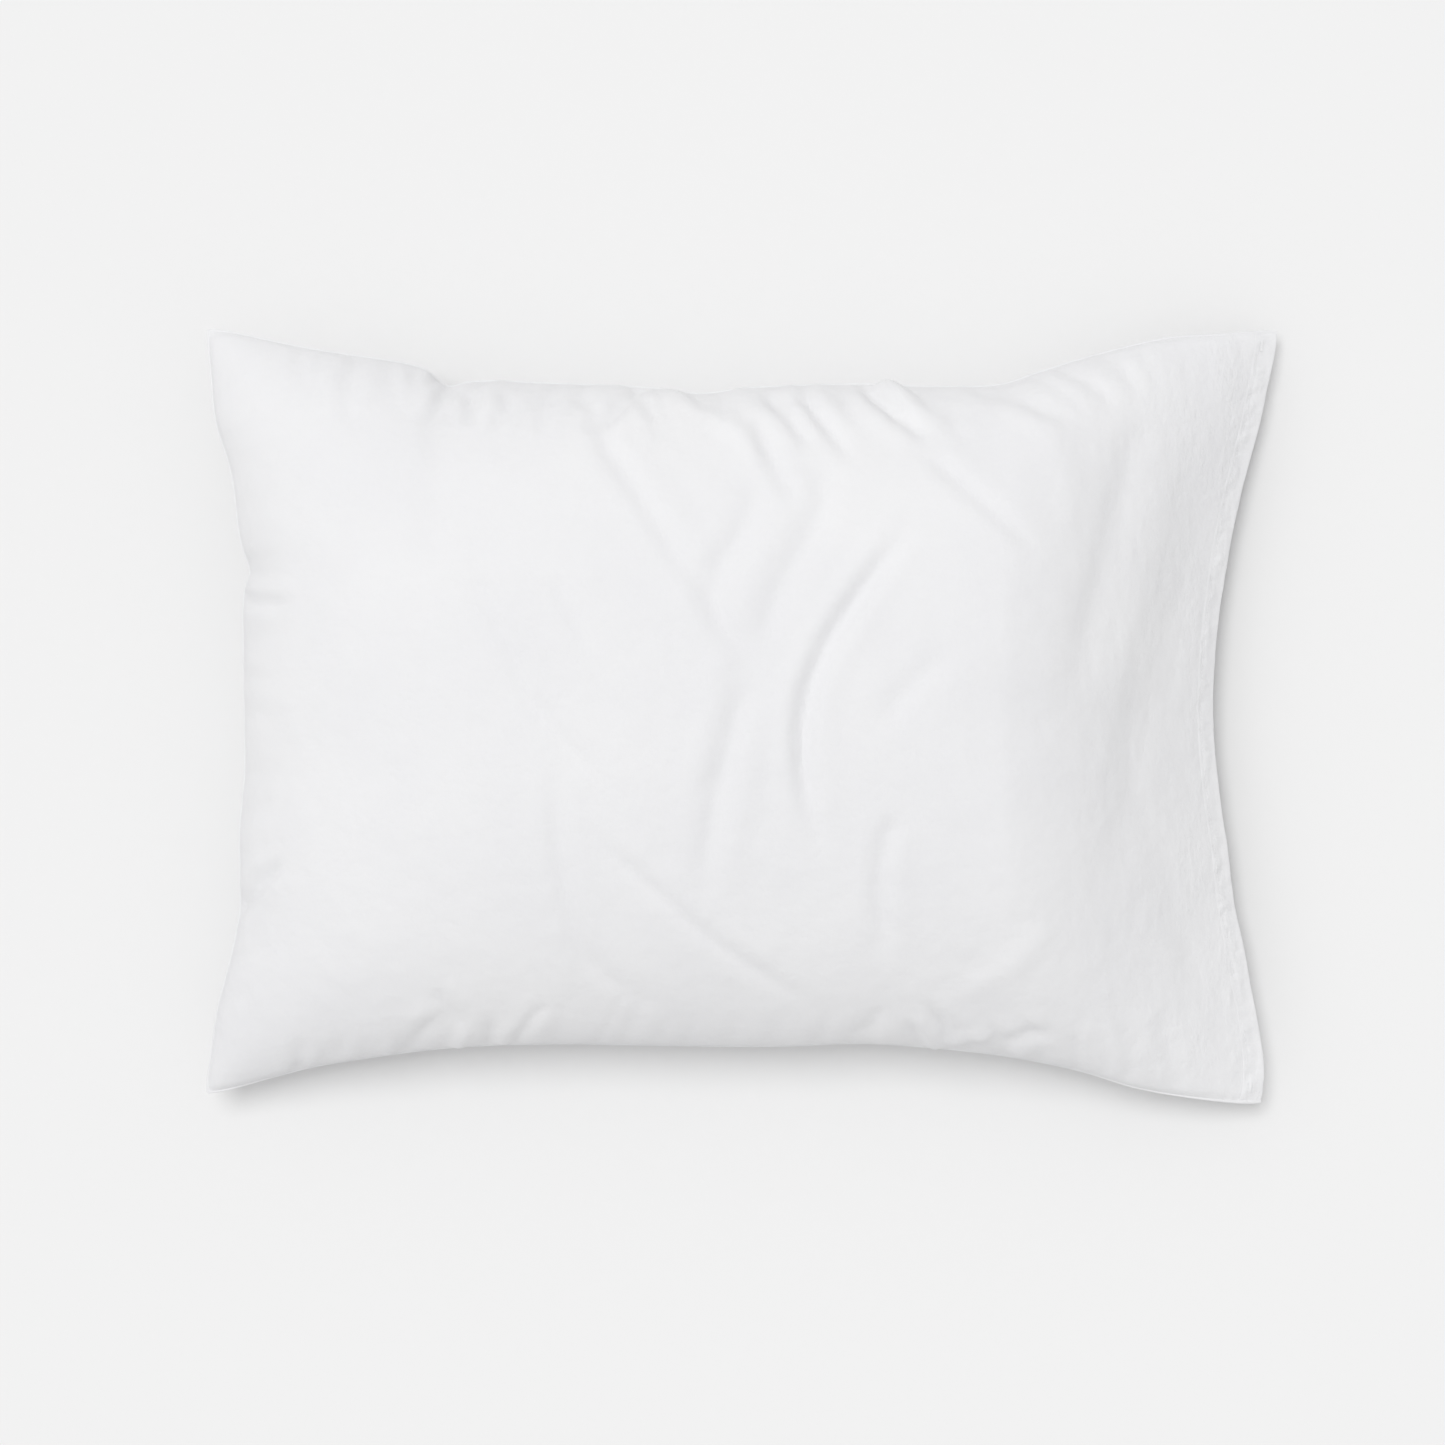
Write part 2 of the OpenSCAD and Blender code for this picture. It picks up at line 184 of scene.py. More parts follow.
# Short puckers that run in from the seams: side, from, to, how many, reach, depth, lean
seamPuckers = [
    ("rear", -0.29, -0.20, 5, 0.045, 0.0012, 0.2),
    ("rear", -0.19, -0.15, 5, 0.042, 0.0016, -0.7),
    ("rear", -0.15, -0.09, 5, 0.040, 0.0006, -0.3),
    ("rear", -0.09, 0.00, 7, 0.045, 0.0013, 0.5),
    ("rear", 0.00, 0.13, 9, 0.045, 0.0016, 0.8),
    ("rear", 0.13, 0.20, 6, 0.040, 0.0008, 1.6),
    ("rear", 0.20, 0.26, 4, 0.032, 0.0006, 0.9),
    ("front", -0.31, -0.22, 8, 0.026, 0.0012, 0.9),
    ("front", -0.23, -0.15, 8, 0.030, 0.0013, 0.8),
    ("front", -0.13, 0.00, 6, 0.040, 0.0005, 0.6),
    ("front", 0.00, 0.12, 5, 0.030, 0.0007, 0.5),
    ("front", 0.12, 0.20, 6, 0.030, 0.0016, -0.9),
    ("front", 0.20, 0.30, 5, 0.035, 0.0008, -0.5),
    ("closed", -0.20, -0.05, 6, 0.030, 0.0008, 0.5),
    ("closed", -0.05, 0.18, 8, 0.034, 0.0005, 0.2),
]


def smoothPath(stops, steps=6):      # a curve through the stops
    stops = np.array(stops, float)
    ends = np.vstack([2 * stops[0] - stops[1], stops, 2 * stops[-1] - stops[-2]])
    path = []
    for k in range(1, len(ends) - 2):
        a, b, c, d = ends[k - 1:k + 3]
        for t in np.arange(steps) / steps:
            path.append(((2 * b) + (c - a) * t + (2 * a - 5 * b + 4 * c - d) * t ** 2
                         + (3 * b - a - 3 * c + d) * t ** 3) / 2)
    return np.array(path + [stops[-1]])


def quirk(side, place):      # how far a side departs from its even curve
    path = smoothPath(edgeQuirks[side])
    return np.interp(place, np.maximum.accumulate(path[:, 0]), path[:, 1])


def pulled(t):      # 1 over the middle of a side and 0 at its corners
    return np.maximum(0, 1 - np.abs(t) ** 4) ** 1.5


def fullLoft(u, v):      # how full the case is, from 0 at its edges to 1
    shape = caseShape
    closedEnd = np.maximum(0, 1 - np.maximum(-u, 0) ** 4) ** shape["endRound"]
    run = np.clip(1 + shape["halfLength"] * (u - 1) / shape["mouthRun"], 0, 1)
    mouth = (1 - run ** shape["slopeTop"]) ** shape["slopeFoot"]
    sides = np.maximum(0, 1 - np.abs(v) ** shape["sideFlat"]) ** shape["sideRound"]
    return closedEnd * mouth * sides


def seamPlane(u, v):      # height of the surface that the seams and the mouth lie in
    shape = caseShape
    mouthCorner = np.where(v < 0, shape["mouthCornerHeight"], shape["mouthRearHeight"])
    cornerHeight = np.where(u < 0, shape["cornerHeight"], mouthCorner)
    corner = (shape["seamHeight"] - cornerHeight) * np.abs(u * v) ** 3
    mouth = (shape["seamHeight"] - shape["mouthHeight"]) * np.maximum(u, 0) ** 4
    ripple = np.sin(u * 23 + v) + 0.7 * np.sin(u * 41 + 2 * v) + 0.8 * np.sin(v * 17 - u)
    ripple = shape["ripple"] * ripple * np.maximum(np.abs(u), np.abs(v)) ** 8
    return shape["seamHeight"] - corner - mouth * (1 - np.abs(v) ** 3) + ripple


def casePoints(u, v, side):      # side is 1 for the top panel and -1 for the bottom one
    shape = caseShape
    endSag = shape["endSag"] + (shape["mouthSag"] - shape["endSag"]) * (u + 1) / 2
    x = u * (shape["halfLength"] - endSag * pulled(v))
    y = v * (shape["halfWidth"] - shape["sideSag"] * pulled(u))
    x = x + quirk("mouth", y) * np.maximum(u, 0) ** 6 - quirk("closed", y) * np.maximum(-u, 0) ** 8
    y = y + quirk("rear", x) * np.maximum(v, 0) ** 6 - quirk("front", x) * np.maximum(-v, 0) ** 6
    loft = fullLoft(u, v)
    seam = seamPlane(u, v)
    rise = shape["edgeRise"] + shape["gape"] / 2 * np.maximum(u, 0) ** 6 * (1 - v * v)
    if side > 0:
        z = seam + rise + (shape["crown"] - shape["seamHeight"] - shape["edgeRise"]) * loft
    else:
        z = (seam - rise) * np.maximum(0, 1 - shape["pressed"] * loft) ** 1.5
    return np.stack([x, y, z], axis=-1)


def spreadEvenly(pointsAt, rows, columns):      # spaces a surface's points as on the cloth
    u, v = np.meshgrid(np.linspace(-1, 1, rows), np.linspace(-1, 1, columns), indexing="ij")
    for turn in range(4):
        for axis in (0, 1):
            steps = np.linalg.norm(np.diff(pointsAt(u, v), axis=axis), axis=2)
            if axis == 1:
                steps, u, v = steps.T, u.T, v.T
            for line in range(u.shape[1]):
                run = np.concatenate([[0], np.cumsum(steps[:, line])])
                even = np.linspace(0, run[-1], len(run))
                u[:, line] = np.interp(even, run, u[:, line].copy())
                v[:, line] = np.interp(even, run, v[:, line].copy())
            if axis == 1:
                u, v = u.T.copy(), v.T.copy()
    return u, v


def gridFaces(ids, up=True):
    quads = np.stack([ids[:-1, :-1], ids[1:, :-1], ids[1:, 1:], ids[:-1, 1:]], axis=2)
    quads = quads.reshape(-1, 4)
    return quads if up else quads[:, ::-1]


def addMesh(name, points, faces, uv=None):
    mesh = bpy.data.meshes.new(name)
    mesh.from_pydata(np.asarray(points).reshape(-1, 3).tolist(), [], [list(f) for f in faces])
    if uv is not None:
        layer = mesh.uv_layers.new(name="cut")
        corners = np.zeros(len(mesh.loops), dtype=np.int32)
        mesh.loops.foreach_get("vertex_index", corners)
        layer.data.foreach_set("uv", np.asarray(uv).reshape(-1, 2)[corners].ravel())
    mesh.update()
    piece = bpy.data.objects.new(name, mesh)
    scene.collection.objects.link(piece)
    return piece


def pick(piece):
    bpy.ops.object.select_all(action="DESELECT")
    piece.select_set(True)
    bpy.context.view_layer.objects.active = piece


def applyAll(piece):
    pick(piece)
    for modifier in list(piece.modifiers):
        bpy.ops.object.modifier_apply(modifier=modifier.name)


def smooth(piece, angle=40):
    pick(piece)
    bpy.ops.object.shade_smooth_by_angle(angle=math.radians(angle))


def addCloth(name, points, uv, thickness, up=True, rim=0.0):
    ids = np.arange(points.shape[0] * points.shape[1]).reshape(points.shape[:2])
    piece = addMesh(name, points, gridFaces(ids, up), uv)
    wall = piece.modifiers.new("wall", "SOLIDIFY")
    wall.thickness = thickness
    wall.offset = -1
    if rim:
        edge = piece.modifiers.new("rim", "BEVEL")
        edge.width = rim
        edge.segments = 2
        edge.limit_method = "ANGLE"
        edge.angle_limit = math.radians(60)
    applyAll(piece)
    smooth(piece)
    return piece


def finer(points):      # halves the cells of a grid along a smooth curve
    for axis in (0, 1):
        line = np.moveaxis(points, axis, 0)
        ends = np.concatenate([2 * line[:1] - line[1:2], line, 2 * line[-1:] - line[-2:-1]])
        between = (9 * (ends[1:-2] + ends[2:-1]) - ends[:-3] - ends[3:]) / 16
        both = np.empty((2 * len(line) - 1,) + line.shape[1:])
        both[::2], both[1::2] = line, between
        points = np.moveaxis(both, 0, axis)
    return points


def gridNormals(points):
    along, across = np.gradient(points, axis=0), np.gradient(points, axis=1)
    normals = np.cross(along, across)
    return normals / np.maximum(np.linalg.norm(normals, axis=2, keepdims=True), 1e-12)


def joinedGrids(top, bottom, openEnd):      # one skin from two grids that share their sides
    rows, columns = top.shape[:2]
    topIds = np.arange(rows * columns).reshape(rows, columns)
    inner = np.zeros((rows, columns), bool)
    inner[1:None if openEnd else -1, 1:-1] = True
    bottomIds = topIds.copy()
    bottomIds[inner] = rows * columns + np.arange(inner.sum())
    shared = ~inner
    skin = top.copy()
    skin[shared] = (top[shared] + bottom[shared]) / 2
    points = np.concatenate([skin.reshape(-1, 3), bottom[inner]])
    faces = np.concatenate([gridFaces(topIds), gridFaces(bottomIds, False)])
    return points, faces, topIds, bottomIds


clothSim = {
    "frames": 18,
    "quality": 5,
    "pressure": 3.0,
    "mass": 0.2,
    "stiffness": 20,
    "bending": 0.6,
    "mostMove": 0.014,       # no point may move further than this
    "calm": 24,              # turns of smoothing that draw the filled top smooth
}


def inflate(name, top, bottom, cut, filled, openEnd):      # relaxes a sewn pair of panels
    points, faces, topIds, bottomIds = joinedGrids(top, bottom, openEnd)
    shell = addMesh(name, points, faces)
    flat = np.zeros((len(points), 3))
    flat[topIds, :2] = cut
    flat[bottomIds, :2] = cut
    shell.shape_key_add(name="filled")
    cutKey = shell.shape_key_add(name="cut")
    cutKey.data.foreach_set("co", flat.ravel())
    held = shell.vertex_groups.new(name="held")
    edges = np.concatenate([topIds[0], topIds[:, 0], topIds[:, -1], topIds[-1], bottomIds[-1]])
    held.add(np.unique(edges).tolist(), 1.0, "REPLACE")
    pushed = shell.vertex_groups.new(name="pushed")
    for ids in (topIds, bottomIds):
        for row, share in zip(ids, filled):
            pushed.add(row.tolist(), float(share), "REPLACE")
    cloth = shell.modifiers.new("cloth", "CLOTH")
    rules = cloth.settings
    rules.quality = clothSim["quality"]
    rules.mass = clothSim["mass"]
    rules.tension_stiffness = rules.compression_stiffness = clothSim["stiffness"]
    rules.shear_stiffness = clothSim["stiffness"] / 3
    rules.bending_stiffness = clothSim["bending"]
    rules.rest_shape_key = cutKey
    rules.vertex_group_mass = "held"
    rules.use_pressure = True
    rules.uniform_pressure_force = clothSim["pressure"]
    rules.vertex_group_pressure = "pushed"
    rules.effector_weights.gravity = 0
    cloth.collision_settings.use_collision = False
    cloth.point_cache.frame_start, cloth.point_cache.frame_end = 1, clothSim["frames"]
    for moment in range(1, clothSim["frames"] + 1):
        scene.frame_set(moment)
    posed = shell.evaluated_get(bpy.context.evaluated_depsgraph_get())
    settled = np.zeros(len(points) * 3)
    posed.data.vertices.foreach_get("co", settled)
    settled = settled.reshape(-1, 3)
    scene.frame_set(1)
    move = settled - points
    far = np.linalg.norm(move, axis=1, keepdims=True)
    move = move * np.minimum(1, clothSim["mostMove"] / np.maximum(far, 1e-9))
    bpy.data.objects.remove(shell)
    print(name, "inflated, mean and largest move", round(far.mean(), 4), round(far.max(), 4))
    upper, lower = move[topIds], move[bottomIds]
    for turn in range(clothSim["calm"]):
        upper[1:-1, 1:-1] = upper[1:-1, 1:-1] / 2 + (
            upper[:-2, 1:-1] + upper[2:, 1:-1] + upper[1:-1, :-2] + upper[1:-1, 2:]) / 8
    return points[topIds] + upper, points[bottomIds] + lower


def easeUp(low, high, value):
    share = np.clip((value - low) / (high - low), 0, 1)
    return share * share * (3 - 2 * share)


foldShape = {
    "strength": 1.1,         # times the depths that the folds on the top state
    "reach": 5,              # a fold is felt this far, in its half widths
    "fadeIn": 0.22,          # shares of its length
    "fadeOut": 0.3,
    "swellAt": 2.1,          # middle and width of the swells beside it, in half widths
    "swellWidth": 1.3,
}


def foldHeight(x, y, fold):      # how far one fold lifts each point of the cloth
    stops, width, depth, left, right = fold
    path = smoothPath(stops)
    reach = foldShape["reach"] * width
    near = ((x > path[:, 0].min() - reach) & (x < path[:, 0].max() + reach)
            & (y > path[:, 1].min() - reach) & (y < path[:, 1].max() + reach))
    px, py = x[near], y[near]
    best, side, along = np.full(px.shape, 1e9), np.zeros(px.shape), np.zeros(px.shape)
    for k in range(len(path) - 1):
        (ax, ay), (dx, dy) = path[k], path[k + 1] - path[k]
        t = np.clip(((px - ax) * dx + (py - ay) * dy) / (dx * dx + dy * dy), 0, 1)
        gap = np.hypot(px - ax - t * dx, py - ay - t * dy)
        closer = gap < best
        turn = np.sign(dx * (py - ay) - dy * (px - ax))
        best = np.where(closer, gap, best)
        side = np.where(closer, turn, side)
        along = np.where(closer, (k + t) / (len(path) - 1), along)
    s = best * side / width
    taper = easeUp(0, foldShape["fadeIn"], along) * easeUp(0, foldShape["fadeOut"], 1 - along)
    swellAt, swellWidth = foldShape["swellAt"], foldShape["swellWidth"]
    shape = (-np.exp(-s * s) + left * np.exp(-((s - swellAt) / swellWidth) ** 2)
             + right * np.exp(-((s + swellAt) / swellWidth) ** 2))
    height = np.zeros(x.shape)
    height[near] = depth * taper * shape
    return height


puckerShape = {
    "seed": 7,
    "start": 0.012,          # they begin this far outside the seam
    "halfWidth": 0.0042,
    "swells": (0.55, 0.45),
}


def seamFolds(chance):      # the short puckers as folds, each a little different
    shape, start, folds = caseShape, puckerShape["start"], []
    for side, low, high, count, reach, depth, lean in seamPuckers:
        for k in range(count):
            place = low + (high - low) * (k + chance.uniform(0.15, 0.85)) / count
            deep = reach * chance.uniform(0.6, 1.25)
            aside = deep * (lean + chance.uniform(-0.3, 0.3))
            bend = deep * chance.uniform(-0.15, 0.15)
            along = np.array([0, aside / 2 + bend, aside]) + place
            edge = start - np.array([0, 0.5, 1]) * (deep + start)
            if side == "closed":
                out = shape["halfLength"] - shape["endSag"] * pulled(along / shape["halfWidth"])
                stops = [(-a - e, b) for a, b, e in zip(out, along, edge)]
            else:
                sign = 1 if side == "rear" else -1
                out = shape["halfWidth"] - shape["sideSag"] * pulled(along / shape["halfLength"])
                stops = [(b, sign * (a + e)) for a, b, e in zip(out, along, edge)]
            folds.append((stops, puckerShape["halfWidth"] * chance.uniform(0.8, 1.5),
                          depth * chance.uniform(0.5, 1.2), *puckerShape["swells"]))
    return folds


washedCreases = {      # fine upright creases in the cloth that hangs free near the mouth
    "from": 0.17,            # they begin here along the case
    "full": 0.24,
    "height": 0.00032,
    "across": 0.009,
    "along": 0.024,
    "slant": 12,
    "fineFrom": 0.21,        # the finer ones are in the finish
    "fineFull": 0.33,
    "fineScale": 3.4,
    "fineStretch": (1.5, 0.75, 0.75),
    "fineDepth": 0.0010,
    "patchLow": 0.38,        # they come in patches, where the slow noise is over these
    "patchHigh": 0.62,
}


def washed(points):
    full = easeUp(washedCreases["from"], washedCreases["full"], points[..., 0])
    crease = np.zeros(points.shape[:2])
    for index in np.argwhere(full > 0):
        x, y, z = points[tuple(index)]
        at = Vector((x / washedCreases["across"] + washedCreases["slant"] * y,
                     y / washedCreases["along"], 3.7))
        crease[tuple(index)] = 0.6 - 2 * abs(noise.noise(at)) + 0.5 * noise.noise(at * 2.3)
    return crease * full * washedCreases["height"]


def sweep(name, path, outward, upward, section, closed=False):
    rings = path[:, None, :] + outward[:, None, :] * section[None, :, :1] \
        + upward[:, None, :] * section[None, :, 1:]
    count, sides = rings.shape[:2]
    faces = []
    for k in range(count if closed else count - 1):
        a, b = k * sides, (k + 1) % count * sides
        for n in range(sides):
            m = (n + 1) % sides
            faces.append((a + n, a + m, b + m, b + n))
    if not closed:
        faces.append(tuple(range(sides))[::-1])
        faces.append(tuple((count - 1) * sides + n for n in range(sides)))
    piece = addMesh(name, rings, faces)
    pick(piece)
    bpy.ops.object.mode_set(mode="EDIT")
    bpy.ops.mesh.select_all(action="SELECT")
    bpy.ops.mesh.normals_make_consistent(inside=False)
    bpy.ops.object.mode_set(mode="OBJECT")
    smooth(piece, 50)
    return piece


threadShape = {"length": 0.0020, "width": 0.0004, "height": 0.0003, "pitch": 0.0026, "proud": 0.0001}


def stitchPattern():      # one stitch, as a small rounded grain of thread
    bpy.ops.mesh.primitive_uv_sphere_add(segments=8, ring_count=6, radius=0.5)
    grain = bpy.context.object
    bpy.ops.object.mode_set(mode="EDIT")
    bpy.ops.mesh.select_all(action="SELECT")
    bpy.ops.transform.rotate(value=math.pi / 2, orient_axis="Y", center_override=(0, 0, 0))
    bpy.ops.object.mode_set(mode="OBJECT")
    points = np.array([list(vertex.co) for vertex in grain.data.vertices])
    faces = [list(face.vertices) for face in grain.data.polygons]
    bpy.data.objects.remove(grain)
    return points, faces


grainPoints, grainFaces = stitchPattern()


def addStitches(name, places, directions, normals, length=None, width=None):
    sizes = np.array([length or threadShape["length"], width or threadShape["width"],
                      threadShape["height"]])
    points, faces = [], []
    for place, direction, normal in zip(places, directions, normals):
        direction = direction / np.linalg.norm(direction)
        across = np.cross(normal, direction)
        across = across / np.linalg.norm(across)
        axes = np.stack([direction, across, np.cross(direction, across)])
        start = len(points) * len(grainPoints)
        points.append(place + (grainPoints * sizes) @ axes)
        faces.extend([[start + n for n in face] for face in grainFaces])
    piece = addMesh(name, np.concatenate(points), faces)
    smooth(piece, 80)
    return piece


def onGrid(points, row, column):      # a point between a grid's own
    r = int(min(max(row, 0), points.shape[0] - 1.001))
    c = int(min(max(column, 0), points.shape[1] - 1.001))
    a, b = row - r, column - c
    near = points[r, c] * (1 - b) + points[r, c + 1] * b
    far = points[r + 1, c] * (1 - b) + points[r + 1, c + 1] * b
    return near * (1 - a) + far * a


def makeCase():
    cells = caseCut["cellsAlong"] + 1, caseCut["cellsAcross"] + 1
    grids = []
    for side in (1, -1):
        u, v = spreadEvenly(lambda a, b: casePoints(a, b, side), *cells)
        grids.append(casePoints(u, v, side))
    alongCut = np.linspace(-0.5, 0.5, cells[0]) * caseCut["length"]
    acrossCut = np.linspace(-0.5, 0.5, cells[1]) * caseCut["width"]
    cut = np.stack(np.meshgrid(alongCut, acrossCut, indexing="ij"), axis=2)
    top, bottom = grids
    filled = 1 - easeUp(caseCut["fullTo"], caseCut["emptyFrom"], alongCut)
    top, bottom = inflate("caseShell", top, bottom, cut, filled, True)
    bottom[..., 2] = np.maximum(bottom[..., 2], 0)
    top, bottom, cut = finer(top), finer(bottom), finer(cut)
    chance = random.Random(puckerShape["seed"])
    height = foldShape["strength"] * sum(foldHeight(top[..., 0], top[..., 1], fold)
                                         for fold in topFolds + seamFolds(chance))
    inward = np.minimum(caseCut["width"] / 2 - np.abs(cut[..., 1]),
                        cut[..., 0] + caseCut["length"] / 2)
    height = (height + washed(top)) * easeUp(0.001, 0.011, inward)
    top = top + gridNormals(top) * height[..., None]
    lifted = easeUp(0.002, 0.02, bottom[..., 2])
    under = sum(foldHeight(bottom[..., 0], bottom[..., 1], fold) for fold in seamFolds(chance))
    under = (under + washed(bottom)) * easeUp(0.001, 0.011, inward) * lifted
    bottom = bottom - gridNormals(bottom) * under[..., None]
    bottom[..., 2] = np.maximum(bottom[..., 2], 0)
    return top, bottom, cut


hemShape = {
    "stitchFromEdge": 0.0125,
    "pucker": 0.0014,
    "puckerPitch": 0.0075,
    "puckerReach": 0.0075,
    "puckerEase": 0.006,     # they come in this far from the hem's inner edge
    "raise": 0.0004,
    "groove": 0.0004,        # depth and half width of the dent that the stitches lie in
    "grooveWidth": 0.0012,
    "rim": 0.0004,
    "threadEnds": 0.012,     # the stitches stop short of the sides
}


def addHem(name, points, cut, up):      # the end rows of a panel, turned back and stitched
    points, cut = finer(points), finer(cut)
    fromMouth = caseCut["length"] / 2 - cut[..., 0]
    fromInner, fromStitch = hemWidth - fromMouth, fromMouth - hemShape["stitchFromEdge"]
    across = cut[..., 1]
    swell = easeUp(0, 0.003, fromInner) * hemShape["raise"]
    groove = np.exp(-(fromStitch / hemShape["grooveWidth"]) ** 2)
    wave = np.zeros(across.shape)
    for index in np.ndindex(across.shape):
        at = Vector((across[index] / hemShape["puckerPitch"], fromMouth[index] * 55,
                     5.3 if up else 8.1))
        wave[index] = noise.noise(at) + 0.5 * noise.noise(at * 2.1)
    beside = np.exp(-(fromStitch / hemShape["puckerReach"]) ** 2)
    height = (swell - hemShape["groove"] * groove) * easeUp(0, 0.0015, fromInner)
    height = height + hemShape["pucker"] * wave * beside * easeUp(0, hemShape["puckerEase"], fromInner)
    normals = gridNormals(points) * (1 if up else -1)
    points = points + normals * height[..., None]
    hem = addCloth(name, points, cut, caseCut["hemCloth"], up, rim=hemShape["rim"])
    row = (hemWidth - hemShape["stitchFromEdge"]) / hemWidth * (points.shape[0] - 1)
    ends = hemShape["threadEnds"]
    columns = np.arange(ends, caseCut["width"] - ends, threadShape["pitch"])
    columns = columns / caseCut["width"] * (points.shape[1] - 1)
    proud = threadShape["proud"]
    places = [onGrid(points, row, c) + onGrid(normals, row, c) * proud for c in columns]
    directions = [onGrid(points, row, c + 0.5) - onGrid(points, row, c - 0.5) for c in columns]
    facing = [onGrid(normals, row, c) for c in columns]
    stitches = addStitches(name + "Stitches", places, directions, facing)
    return hem, stitches, points, normals


tackShape = {
    "stitches": 13,
    "pitch": 0.0005,
    "fromSide": 0.007,
    "pastRow": 0.0018,       # middle of the tack, from the hem's row towards the mouth
    "length": 0.0026,
    "width": 0.00075,
    "proud": 0.00025,
}


def addBarTacks(points, normals):      # close stitches across the ends of the top hem's row
    rows = points.shape[0] - 1
    row = (hemWidth - hemShape["stitchFromEdge"] + tackShape["pastRow"]) / hemWidth * rows
    places, directions, facing = [], [], []
    for side in (0, 1):
        for k in range(tackShape["stitches"]):
            fromSide = tackShape["fromSide"] + tackShape["pitch"] * k
            share = fromSide / caseCut["width"]
            column = (share if side == 0 else 1 - share) * (points.shape[1] - 1)
            normal = onGrid(normals, row, column)
            places.append(onGrid(points, row, column) + normal * tackShape["proud"])
            directions.append(onGrid(points, row + 1, column) - onGrid(points, row - 1, column))
            facing.append(normal)
    return addStitches("caseBarTacks", places, directions, facing,
                       tackShape["length"], tackShape["width"])


seamShape = {
    "width": 0.007,          # of the allowance inside
    "nose": 0.0008,          # rounded edge outside the seam line, and its half thickness
    "half": 0.0009,
    "shoulder": 0.002,       # the allowance thins to its own thickness in two steps
    "shoulderShare": 0.9,
    "innerShare": 0.7,
}


def addSeam(name, border, side):      # a closed seam along a panel's border
    run = np.gradient(border, axis=0)
    for turn in range(4):
        run[1:-1] = run[1:-1] / 2 + (run[:-2] + run[2:]) / 4
    run = run / np.linalg.norm(run, axis=1, keepdims=True)
    outward = side * np.cross(run, [0, 0, 1.0])
    outward = outward / np.linalg.norm(outward, axis=1, keepdims=True)
    upward = np.cross(run, outward)
    upward = upward * np.sign(upward[:, 2:])
    nose, half, width = seamShape["nose"], seamShape["half"], seamShape["width"]
    shoulder = seamShape["shoulder"]
    outer, inner = half * seamShape["shoulderShare"], half * seamShape["innerShare"]
    turn = np.linspace(-math.pi / 2, math.pi / 2, 7)
    section = [(nose * math.cos(t), half * math.sin(t)) for t in turn]
    section += [(-shoulder, outer), (-width, inner), (-width, -inner), (-shoulder, -outer)]
    return sweep(name, border, outward, upward, np.array(section))


top, bottom, cut = makeCase()
hemRows = caseCut["hemCells"] * 2
caseTop = addCloth("caseTopPanel", top[:-hemRows], cut[:-hemRows], caseCut["cloth"])
caseBottom = addCloth("caseBottomPanel", bottom[:-hemRows], cut[:-hemRows], caseCut["cloth"], False)
topHem, topStitches, hemPoints, hemNormals = addHem(
    "caseTopHem", top[-hemRows - 1:], cut[-hemRows - 1:], True)
bottomHem, bottomStitches, _, _ = addHem(
    "caseBottomHem", bottom[-hemRows - 1:], cut[-hemRows - 1:], False)
barTacks = addBarTacks(hemPoints, hemNormals)
closedSeam = addSeam("caseClosedEndSeam", top[0], -1)
frontSeam = addSeam("caseFrontSeam", top[:, 0], 1)
rearSeam = addSeam("caseRearSeam", top[:, -1], -1)
print("case made")


# The pillow that the case holds

pillow = {
    "sideInset": 0.013,      # between the case's closed sides and the ticking
    "mouthSpace": 0.096,     # empty case between the mouth and the ticking
    "clearance": 0.0035,     # between the case's cloth and the ticking
    "ticking": 0.0006,
    "piping": 0.004,         # diameter
    "cutLength": 0.62,       # the ticking before it is filled
    "cutWidth": 0.48,
    "halfLength": 0.29,      # and about its half sizes once filled
    "halfWidth": 0.22,
    "cellsAlong": 140,
    "cellsAcross": 104,
    "edge": 0.0008,          # half the thickness where its panels meet
    "pucker": 0.0030,        # height of the gathers beside the piping
    "puckerPitch": 0.012,
    "puckerReach": 0.03,
    "closing": 0.16,         # length of the slot that was closed by hand
    "closingPitch": 0.0045,
    "closingStitch": 0.005,
    "closingProud": 0.00035,
}


def pillowEdge(p, q, out=0.0):      # p and q run over the pillow as u and v over the case
    half = caseShape["halfLength"]
    ends = -1 + pillow["sideInset"] / half, 1 - pillow["mouthSpace"] / half
    u = (ends[0] + ends[1]) / 2 + p * (ends[1] - ends[0]) / 2
    u = u + p * out / (half - caseShape["endSag"])
    reach = caseShape["halfWidth"] - caseShape["sideSag"] * pulled(u)
    v = q * (1 - (pillow["sideInset"] - out) / reach)
    return u, v


def pillowPoints(p, q, side, gap):      # gap is kept between this skin and the case's
    u, v = pillowEdge(p, q)
    face = casePoints(u, v, side)
    middle = seamPlane(u, v)
    plump = np.maximum(0, 1 - np.abs(p) ** 6) ** 0.6 * np.maximum(0, 1 - np.abs(q) ** 6) ** 0.6
    edge = middle + side * pillow["edge"]
    face[..., 2] = edge + plump * (face[..., 2] - side * gap - edge)
    return face


def keepInside(points, tree, gap):      # moves points until they clear a skin by the gap
    flat = points.reshape(-1, 3).copy()
    for turn in range(3):
        for n, point in enumerate(flat):
            near, normal, face, far = tree.find_nearest(Vector(point))
            depth = (near - Vector(point)).dot(normal)
            if depth < gap:
                flat[n] = Vector(point) + normal * (depth - gap)
    return flat.reshape(points.shape)


def skinTree(top, bottom):
    count = top.shape[0] * top.shape[1]
    ids = np.arange(count).reshape(top.shape[:2])
    points = np.concatenate([top.reshape(-1, 3), bottom.reshape(-1, 3)]).tolist()
    faces = np.concatenate([gridFaces(ids), gridFaces(ids + count, False)]).tolist()
    return BVHTree.FromPolygons(points, faces)


